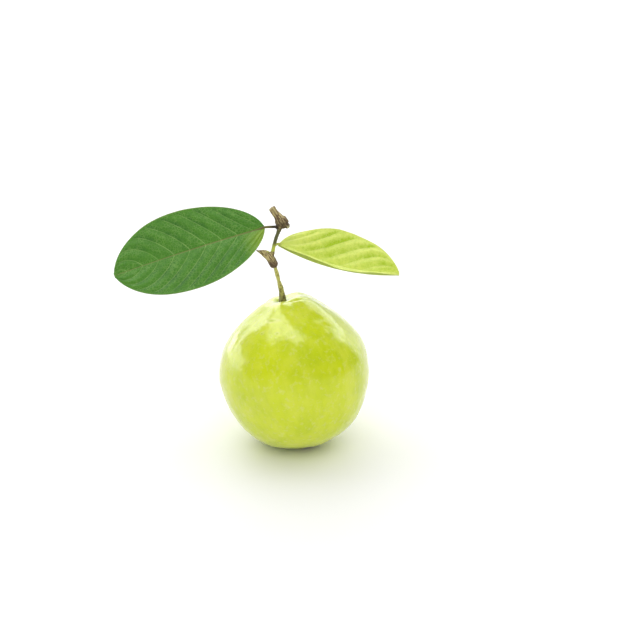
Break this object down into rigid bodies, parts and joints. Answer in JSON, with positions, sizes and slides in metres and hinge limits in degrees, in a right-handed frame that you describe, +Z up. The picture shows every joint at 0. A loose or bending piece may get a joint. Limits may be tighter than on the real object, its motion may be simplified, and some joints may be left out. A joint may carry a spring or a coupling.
{
  "type": "guava",
  "caption": "Whole guava as picked, standing on a small flat spot, with its stalk and the leafy end of its twig: one large dark leaf and one young folded leaf.",
  "frame": {"origin": "middle of the flat spot under the fruit that it stands on", "axes": "+Z up, +X along the leaves towards the young leaf's tip, +Y to the back, the way the stalk leans"},
  "size_m": [0.1602, 0.0856, 0.1389],
  "materials": {
    "fruit_skin": "waxy satin skin, yellow-green",
    "dried_calyx": "dry, matte, dark brown",
    "green_stalk": "matte olive green with brown specks",
    "bark": "rough grey-brown bark, green on the young shoot",
    "leaf_dark": "satin dark green blade with paler ribs",
    "leaf_pale": "soft satin yellow-green blade with paler ribs"
  },
  "bodies": {
    "root": {"fruit": "fruit_skin", "calyx": "dried_calyx", "stalk": "green_stalk", "twig": "bark", "leaf_large": "leaf_dark", "leaf_young": "leaf_pale"}
  },
  "joints": []
}
